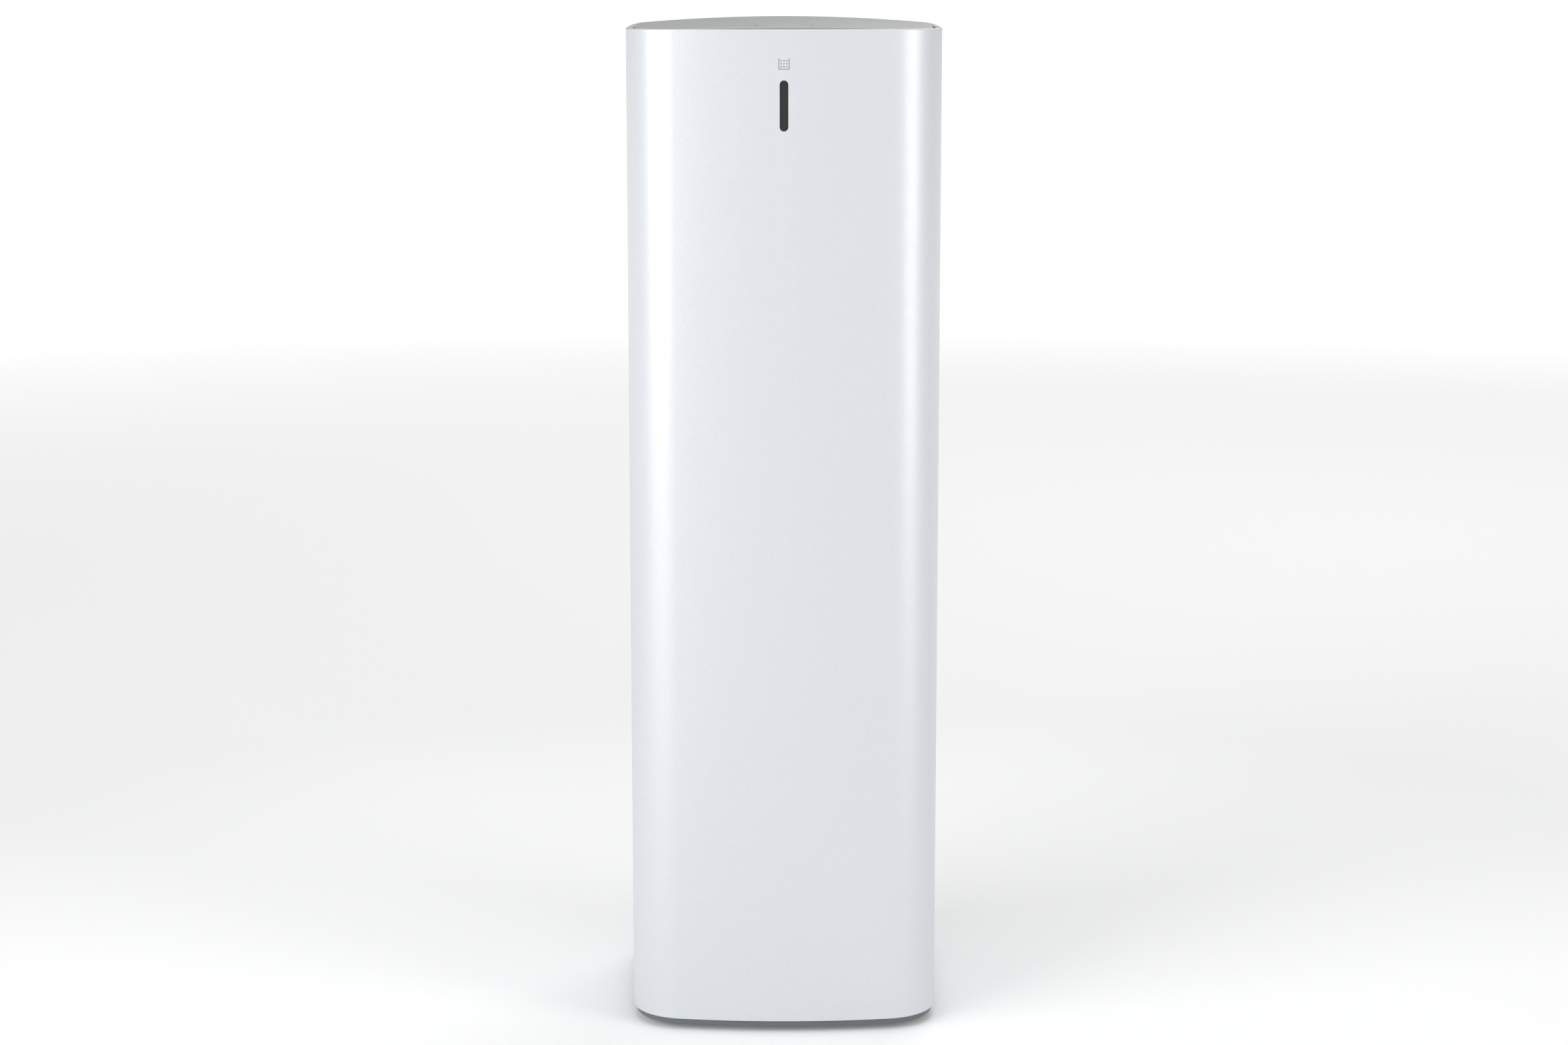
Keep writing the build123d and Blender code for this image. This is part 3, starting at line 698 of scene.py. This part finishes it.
# --------------------------------------------------------------------- studio
def stand(thing: bpy.types.Object, place: Place, level: float) -> None:
    """Place a camera or lamp and turn it to the tower's axis.

    Args:
        thing: the camera or lamp.
        place: where it stands.
        level: height on the axis that it points at.
    """
    bpy.context.scene.collection.objects.link(thing)
    thing.location = place
    way = Vector((0.0, 0.0, level)) - thing.location
    thing.rotation_euler = way.to_track_quat("-Z", "Y").to_euler()


@dataclass(frozen=True)
class SoftBox:
    """Soft lamp that points at a level on the tower's axis."""

    name: str
    place: Place
    size: Span
    watts: float
    level: float
    spread: float = math.radians(150.0)

    def hang(self) -> None:
        """Hang the lamp."""
        data = bpy.data.lights.new(self.name, "AREA")
        data.shape = "RECTANGLE"
        data.size, data.size_y = self.size
        data.energy = self.watts
        data.spread = self.spread
        stand(bpy.data.objects.new(self.name, data), self.place, self.level)


SOFT_BOXES = (
    SoftBox("left_box", (-1.60, -1.30, 1.00), (1.6, 1.6), watts=19.0, level=0.45),
    SoftBox("right_box", (1.65, -1.05, 0.85), (0.9, 1.5), watts=8.5, level=0.30),
    SoftBox("top_box", (0.0, -0.2, 2.3), (1.6, 1.6), watts=9.0, level=0.6),
    SoftBox("back_box", (0.8, 1.9, 2.1), (1.4, 1.2), watts=10.5, level=0.35),
)


@dataclass
class Studio:
    """Camera, floor, sky and lamps."""

    distance: float = 2.081
    eye: float = 0.694
    aim: float = 0.3188
    lens: float = 73.3
    sensor: float = 36.0
    near: float = 0.05
    floor: float = 160.0
    floor_white: Colour = (0.93, 0.93, 0.93)
    glow_reach: Span = (0.8, 4.0)  # distances between which the floor's glow grows
    glow: Span = (0.10, 0.70)
    backdrop: Colour = (0.98, 0.98, 0.98)
    room_front: Colour = (0.42, 0.423, 0.426)
    room_flank: Colour = (0.20, 0.203, 0.206)
    room_span: Span = (0.35, 0.98)

    def camera(self) -> None:
        """Place the camera in front of the tower, looking slightly down."""
        data = bpy.data.cameras.new("camera")
        data.lens = self.lens
        data.sensor_width = self.sensor
        data.clip_start, data.clip_end = self.near, 2 * self.floor
        camera = bpy.data.objects.new("camera", data)
        stand(camera, (0.0, -self.distance, self.eye), self.aim)
        bpy.context.scene.camera = camera

    def ground(self) -> None:
        """Lay the pale floor, which glows more the farther it is from the tower."""
        deselect()
        bpy.ops.mesh.primitive_plane_add(size=self.floor, location=(0.0, 0.0, 0.0))
        floor = bpy.context.object
        floor.name = "floor"
        paint = Painter("pale_floor")
        paint.set(Roughness=0.95, Specular_IOR_Level=0.0, Base_Color=self.floor_white)
        paint.set(Emission_Color=(1.0, 1.0, 1.0))
        reach = paint.add("VectorMath", operation="LENGTH")
        paint.link(paint.point(), reach.inputs[0])
        lift = paint.remap(reach.outputs["Value"], self.glow_reach, self.glow)
        paint.link(lift, paint.shader.inputs["Emission Strength"])
        floor.data.materials.append(paint.material)

    def sky(self) -> None:
        """White room that is darker to the left, to the right and behind."""
        world = bpy.data.worlds.new("room")
        bpy.context.scene.world = world
        world.use_nodes = True
        add, link = world.node_tree.nodes.new, world.node_tree.links.new
        split = add("ShaderNodeSeparateXYZ")
        link(add("ShaderNodeTexCoord").outputs["Generated"], split.inputs["Vector"])
        side, away = add("ShaderNodeMath"), add("ShaderNodeMath")
        side.operation, away.operation = "ABSOLUTE", "MAXIMUM"
        link(split.outputs["X"], side.inputs[0])
        link(side.outputs[0], away.inputs[0])
        link(split.outputs["Y"], away.inputs[1])
        ramp = add("ShaderNodeValToRGB")
        front, flank = ramp.color_ramp.elements
        front.position, front.color = self.room_span[0], (*self.room_front, 1.0)
        flank.position, flank.color = self.room_span[1], (*self.room_flank, 1.0)
        link(away.outputs[0], ramp.inputs["Fac"])
        mix = add("ShaderNodeMix")
        mix.data_type = "RGBA"
        link(add("ShaderNodeLightPath").outputs["Is Camera Ray"], mix.inputs["Factor"])
        link(ramp.outputs["Color"], mix.inputs["A"])
        mix.inputs["B"].default_value = (*self.backdrop, 1.0)
        link(mix.outputs["Result"], world.node_tree.nodes["Background"].inputs["Color"])

    def build(self) -> None:
        """Set up everything round the tower."""
        self.camera()
        self.ground()
        self.sky()
        for box in SOFT_BOXES:
            box.hang()
        view = bpy.context.scene.view_settings
        view.view_transform = "Standard"
        view.look = "None"


# ---------------------------------------------------------------- the casing
@dataclass
class Casing:
    """White shell, dark base, feet and the fixed strip behind the lid."""

    frame: dict

    def build(self) -> None:
        """Dress the casing."""
        smooth_copy(self.frame, "rear_shell", "casing_back", Finish.WHITE_SHELL)
        smooth_copy(self.frame, "base_tray", "plinth", Finish.BASE_GREY)
        smooth_copy(self.frame, "top_cap", "lid_rear_strip", Finish.LID_GREY, 20.0)
        smooth_copy(self.frame, "feet", "soft_feet", Finish.RUBBER_DARK)
        finish_node(self.frame, Finish.INNER_PLASTIC, "inner_frame")
        finish_node(self.frame, Finish.STEEL, "frame_screws", "catch_strikes")


@dataclass
class Lid:
    """Domed lid with its liner, seal, magnets and pin."""

    frame: dict

    def build(self) -> None:
        """Dress the lid."""
        smooth_copy(self.frame, "lid_cover", "lid_shell", Finish.LID_GREY, 24.0)
        finish_node(self.frame, Finish.DECK_PLASTIC, "lid_liner")
        smooth_copy(self.frame, "lid_seal", "lid_ring_seal", Finish.RUBBER_DARK)
        finish_node(self.frame, Finish.MAGNET, "lid_magnets")
        finish_node(self.frame, Finish.STEEL, "lid_hinge_pin")


@dataclass
class Cradle:
    """Cup under the lid, its rings, pusher and the start button."""

    frame: dict
    wire: float = 0.0003  # half the thickness of the return spring's wire
    turns: int = 4
    travel: float = 0.002

    def build(self) -> None:
        """Dress the cradle."""
        smooth_copy(self.frame, "bin_cradle", "bin_cup", Finish.DECK_PLASTIC)
        smooth_copy(self.frame, "top_deck", "deck_plate", Finish.DECK_PLASTIC)
        smooth_copy(self.frame, "cradle_gasket", "cup_rings", Finish.RUBBER_DARK)
        smooth_copy(self.frame, "start_button", "start_button_cap", Finish.BUTTON_PLASTIC)
        finish_node(self.frame, Finish.STEEL, "bin_pusher")
        finish_node(self.frame, Finish.SWITCH_BLACK, "bin_solenoid", "start_switch")
        self.spring()

    def spring(self) -> None:
        """Wind the button's return spring."""
        low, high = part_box("button_spring")
        middle = (low + high) / 2
        radius = (high.x - low.x) / 2 - self.wire
        deselect()
        bpy.ops.mesh.primitive_circle_add(
            vertices=8, radius=self.wire, fill_type="NOTHING", rotation=(math.pi / 2, 0.0, 0.0)
        )
        coil = bpy.context.object
        coil.name = "button_coil"
        coil.location = (radius, 0.0, 0.0)
        settle(coil)
        pitch = (high.z - low.z - 2 * self.wire) / self.turns
        modify(
            coil,
            "SCREW",
            steps=20,
            render_steps=20,
            iterations=self.turns,
            screw_offset=pitch,
            angle=math.tau,
        )
        coil.location = (middle.x, middle.y, low.z + self.wire)
        settle(coil)
        pick(coil)
        bpy.ops.object.mode_set(mode="EDIT")
        bpy.ops.mesh.select_all(action="DESELECT")
        bpy.ops.mesh.select_non_manifold()
        bpy.ops.mesh.edge_face_add()
        bpy.ops.object.mode_set(mode="OBJECT")
        outward(coil)
        smooth(coil, 60.0)
        mount(coil, "tower", Finish.STEEL, "button_spring")
        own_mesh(coil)


@dataclass
class Door:
    """Wrapped front door with the indicator, its board, inner tray, seal and catches."""

    frame: dict
    # black ring round the indicator's window: painted shade for its recessed walls
    shade_ring_width: float = 0.00045
    shade_ring_height: float = 0.00018
    shade_ring_lift: float = 0.00002
    tray_wall: float = 0.0024
    rib_levels: tuple[float, ...] = (0.2, 0.4, 0.6, 0.8)  # shares of the tray's height
    rib_places: tuple[float, ...] = (-0.03, 0.03)
    rib_half: float = 0.001
    rib_round: float = 0.0006
    rib_gaps: Span = (0.0026, 0.003)  # to the tray's sides and to its ends
    rib_depths: Span = (0.009, 0.007)  # of the level and the upright ribs

    def build(self) -> None:
        """Dress the door and add the black ring round the indicator's window, a dark piece that
        stands in for painted shade.
        """
        smooth_copy(self.frame, "door_cover", "door_skin", Finish.WHITE_SHELL)
        smooth_copy(self.frame, "door_inner_panel", "door_tray", Finish.INNER_PLASTIC)
        smooth_copy(self.frame, "door_seal", "door_rubber", Finish.RUBBER_DARK)
        smooth_copy(self.frame, "indicator_lens", "indicator_window", Finish.LENS_DARK)
        finish_node(self.frame, Finish.ICON_GREY, "icon_inlay")
        finish_node(self.frame, Finish.BOARD_GREEN, "display_board")
        finish_node(self.frame, Finish.LAMP_WHITE, "display_leds")
        finish_node(self.frame, Finish.STEEL, "door_hinge_pins")
        finish_node(self.frame, Finish.MAGNET, "door_magnets")
        self.painted_shade_ring()
        self.ribs()

    def painted_shade_ring(self) -> None:
        """Thin black ring on the rim of the indicator's window: a dark piece standing in for the
        shade on the window's recessed walls.
        """
        low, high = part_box("indicator_lens")
        radius = (high.x - low.x) / 2
        middle = low.z + radius
        deselect()
        bpy.ops.mesh.primitive_circle_add(
            vertices=48,
            radius=radius,
            fill_type="NGON",
            location=(0.0, low.y - self.shade_ring_lift, middle),
            rotation=(math.pi / 2, 0.0, 0.0),
        )
        frame = bpy.context.object
        frame.name = "window_painted_shade_ring"
        settle(frame)
        for vertex in frame.data.vertices:
            if vertex.co.z > middle + 1e-6:
                vertex.co.z += high.z - low.z - 2 * radius
        pick(frame)
        bpy.ops.object.mode_set(mode="EDIT")
        bpy.ops.mesh.select_all(action="SELECT")
        bpy.ops.mesh.inset(thickness=self.shade_ring_width, depth=0.0)
        bpy.ops.mesh.delete(type="ONLY_FACE")
        bpy.ops.object.mode_set(mode="OBJECT")
        modify(frame, "SOLIDIFY", thickness=self.shade_ring_height, offset=0.0)
        outward(frame)
        smooth(frame, 30.0)
        # black finish here is painted shade, not a real bezel
        mount(frame, "door", Finish.SWITCH_BLACK)

    def ribs(self) -> None:
        """Stiffening ribs across the inner tray."""
        low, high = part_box("door_inner_panel")
        back = low.y + self.tray_wall
        (side_gap, end_gap), (level_depth, upright_depth) = self.rib_gaps, self.rib_depths
        made = []
        for share in self.rib_levels:
            level = low.z + share * (high.z - low.z)
            start = (low.x + side_gap, back, level - self.rib_half)
            end = (high.x - side_gap, back + level_depth, level + self.rib_half)
            made.append(rounded_box("rib", start, end, self.rib_round))
        for x in self.rib_places:
            start = (x - self.rib_half, back, low.z + end_gap)
            end = (x + self.rib_half, back + upright_depth, high.z - end_gap)
            made.append(rounded_box("rib", start, end, self.rib_round))
        mount(join("door_tray_ribs", made), "door", Finish.INNER_PLASTIC)


@dataclass
class BagBay:
    """Chamber behind the door with the bag, its collar and the filter below."""

    frame: dict
    neck: float = 0.012
    neck_y: float = -0.010
    neck_radius: float = 0.021
    slack: float = 0.007  # between the flat form and the bag's space
    pressure: float = 2.6
    cloth_frames: int = 20
    swell: float = 0.010
    voxel: float = 0.005
    gusset: float = 0.009
    gusset_width: float = 0.22  # as a share of half the bag's depth
    pucker: float = 0.0011
    foam_voxel: float = 0.004
    foam_wave: float = 260.0
    foam_dent: float = 0.0012

    def build(self) -> None:
        """Dress the chamber and sew the bag."""
        smooth_copy(self.frame, "bag_chamber", "bag_tub", Finish.INNER_PLASTIC)
        finish_node(self.frame, Finish.RAIL_PLASTIC, "bag_rails", "premotor_filter_frame")
        finish_node(self.frame, Finish.CARD, "bag_collar")
        self.bag()
        self.foam()

    def bag(self) -> None:
        """Blow the dust bag up a little from a flat-sided form."""
        low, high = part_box("dust_bag")
        top = high.z - self.neck
        bag = rounded_box(
            "dust_sack",
            (low.x + self.slack, low.y + self.slack, low.z + 0.006),
            (high.x - self.slack, high.y - self.slack, top),
            radius=0.012,
            segments=4,
        )
        modify(bag, "REMESH", mode="VOXEL", voxel_size=self.voxel)
        start = [vertex.co.copy() for vertex in bag.data.vertices]
        self.inflate(bag, top)
        for vertex, origin in zip(bag.data.vertices, start):
            move = vertex.co - origin
            if move.length > self.swell:
                vertex.co = origin + move.normalized() * self.swell
            vertex.co.x = min(max(vertex.co.x, low.x), high.x)
            vertex.co.y = min(max(vertex.co.y, low.y), high.y)
            vertex.co.z = min(max(vertex.co.z, low.z), top + 0.003)
        self.creases(bag, low, high)
        modify(bag, "SUBSURF", levels=1, render_levels=1)
        smooth(bag, 80.0)
        mount(bag, "tower", Finish.BAG_CLOTH, "dust_bag")
        foot = (0.0, self.neck_y, top - 0.004)
        mouth = (0.0, self.neck_y, high.z - 0.0002)
        sleeve = rod("sack_neck", foot, mouth, self.neck_radius, sides=48)
        mount(sleeve, "tower", Finish.BAG_CLOTH)

    def inflate(self, bag: bpy.types.Object, top: float) -> None:
        """Run the cloth for a few frames.

        Args:
            bag: the remeshed form.
            top: level of its upper end, which is held.
        """
        held = bag.vertex_groups.new(name="held")
        rim = [v.index for v in bag.data.vertices if v.co.z > top - 0.003]
        held.add(rim, 1.0, "REPLACE")
        pick(bag)
        cloth = bag.modifiers.new("Cloth", "CLOTH")
        settings = cloth.settings
        settings.quality = 6
        settings.mass = 0.25
        settings.tension_stiffness = settings.compression_stiffness = 12.0
        settings.bending_stiffness = 0.6
        settings.use_pressure = True
        settings.uniform_pressure_force = self.pressure
        settings.effector_weights.gravity = 0.0
        settings.vertex_group_mass = "held"
        cloth.collision_settings.use_collision = False
        scene = bpy.context.scene
        for number in range(1, self.cloth_frames + 1):
            scene.frame_set(number)
        bpy.ops.object.modifier_apply(modifier=cloth.name)
        scene.frame_set(1)
        bag.vertex_groups.clear()

    @staticmethod
    def ripple(x: float, z: float) -> float:
        """Uneven ripple of the cloth across the bag, between -1.6 and 1.6."""
        wave = math.sin(x * 190.0 + 2.0 * math.sin(z * 31.0))
        return wave + 0.6 * math.sin(x * 83.0 - z * 47.0)

    def creases(self, bag: bpy.types.Object, low: Vector, high: Vector) -> None:
        """Press in the side gussets and the folds round the bottom.

        Args:
            bag: the form.
            low: lowest corner of the bag's space.
            high: its highest corner.
        """
        middle = (low + high) / 2
        half = (high - low) / 2
        for vertex in bag.data.vertices:
            side = abs(vertex.co.x - middle.x) / half.x
            depth = (vertex.co.y - middle.y) / half.y
            rise = (vertex.co.z - low.z) / (2 * half.z)
            if side > 0.7:
                across = math.exp(-(depth / self.gusset_width) ** 2)
                along = math.sin(math.pi * min(rise * 1.05, 1.0))
                fold = self.gusset * across * along
                vertex.co.x -= math.copysign(fold, vertex.co.x - middle.x)
            ripple = self.ripple(vertex.co.x, vertex.co.z)
            near_end = math.exp(-rise / 0.10) + math.exp(-(1.0 - rise) / 0.14)
            if abs(depth) > 0.6:
                vertex.co.y -= math.copysign(self.pucker * near_end * (1 + ripple), depth)

    def foam(self) -> None:
        """Block of filter foam with a crowned, slightly uneven top."""
        low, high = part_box("premotor_foam")
        block = rounded_box("filter_foam", low, high, 0.002)
        modify(block, "REMESH", mode="VOXEL", voxel_size=self.foam_voxel)
        for vertex in block.data.vertices:
            if vertex.co.z > high.z - 0.003:
                across = math.sin(vertex.co.x * self.foam_wave)
                along = math.sin(vertex.co.y * self.foam_wave)
                vertex.co.z -= self.foam_dent * (1 + across * along)
        modify(block, "SUBSURF", levels=1, render_levels=1)
        smooth(block, 60.0)
        mount(block, "tower", Finish.FOAM, "premotor_foam")


@dataclass
class AirPath:
    """Duct, its rings, the butterfly flap and its servo."""

    frame: dict

    def build(self) -> None:
        """Dress the air path."""
        smooth_copy(self.frame, "inlet_duct", "duct", Finish.INNER_PLASTIC)
        smooth_copy(self.frame, "air_flap", "butterfly", Finish.RAIL_PLASTIC)
        finish_node(self.frame, Finish.RUBBER_DARK, "duct_gaskets", "housing_gasket")
        finish_node(self.frame, Finish.STEEL, "flap_shaft")
        finish_node(self.frame, Finish.SWITCH_BLACK, "flap_servo")


@dataclass
class FanSection:
    """Housing, motor and fan wheel."""

    frame: dict

    def build(self) -> None:
        """Dress the fan section."""
        smooth_copy(self.frame, "motor_housing_lower", "fan_bowl", Finish.HOUSING_PLASTIC)
        smooth_copy(self.frame, "motor_housing_upper", "fan_cap", Finish.HOUSING_PLASTIC)
        finish_node(self.frame, Finish.RUBBER_DARK, "motor_mount_rings")
        finish_node(self.frame, Finish.STEEL, "motor_can", "motor_shaft", "motor_bearings")
        finish_node(self.frame, Finish.STATOR_STEEL, "motor_stator")
        finish_node(self.frame, Finish.MAGNET, "motor_rotor")
        finish_node(self.frame, Finish.RAIL_PLASTIC, "diffuser")
        finish_node(self.frame, Finish.FAN_METAL, "impeller")


@dataclass
class Exhaust:
    """Duct behind the fan, pleated filter and louvred cover."""

    frame: dict

    def build(self) -> None:
        """Dress the exhaust."""
        finish_node(self.frame, Finish.HOUSING_PLASTIC, "exhaust_duct")
        smooth_copy(self.frame, "exhaust_grille", "louvred_cover", Finish.WHITE_SHELL)
        finish_node(self.frame, Finish.RAIL_PLASTIC, "exhaust_filter_frame")
        finish_node(self.frame, Finish.FILTER_PAPER, "exhaust_filter_media")


@dataclass
class Electronics:
    """Control board and the appliance inlet."""

    frame: dict

    def build(self) -> None:
        """Dress the board and the inlet."""
        finish_node(self.frame, Finish.BOARD_GREEN, "main_board")
        finish_node(self.frame, Finish.COMPONENT_BLACK, "board_components")
        finish_node(self.frame, Finish.BRASS, "board_posts", "inlet_pins")
        finish_node(self.frame, Finish.SWITCH_BLACK, "power_inlet")


def main() -> None:
    """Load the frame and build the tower's looks."""
    logging.basicConfig(level=logging.INFO, format="%(name)s: %(message)s")
    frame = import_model()
    Studio().build()
    for part in (Casing, Lid, Cradle, Door, BagBay, AirPath, FanSection, Exhaust, Electronics):
        LOG.info("building the %s", part.__name__)
        part(frame).build()
    deselect()


if __name__ == "__main__":
    main()
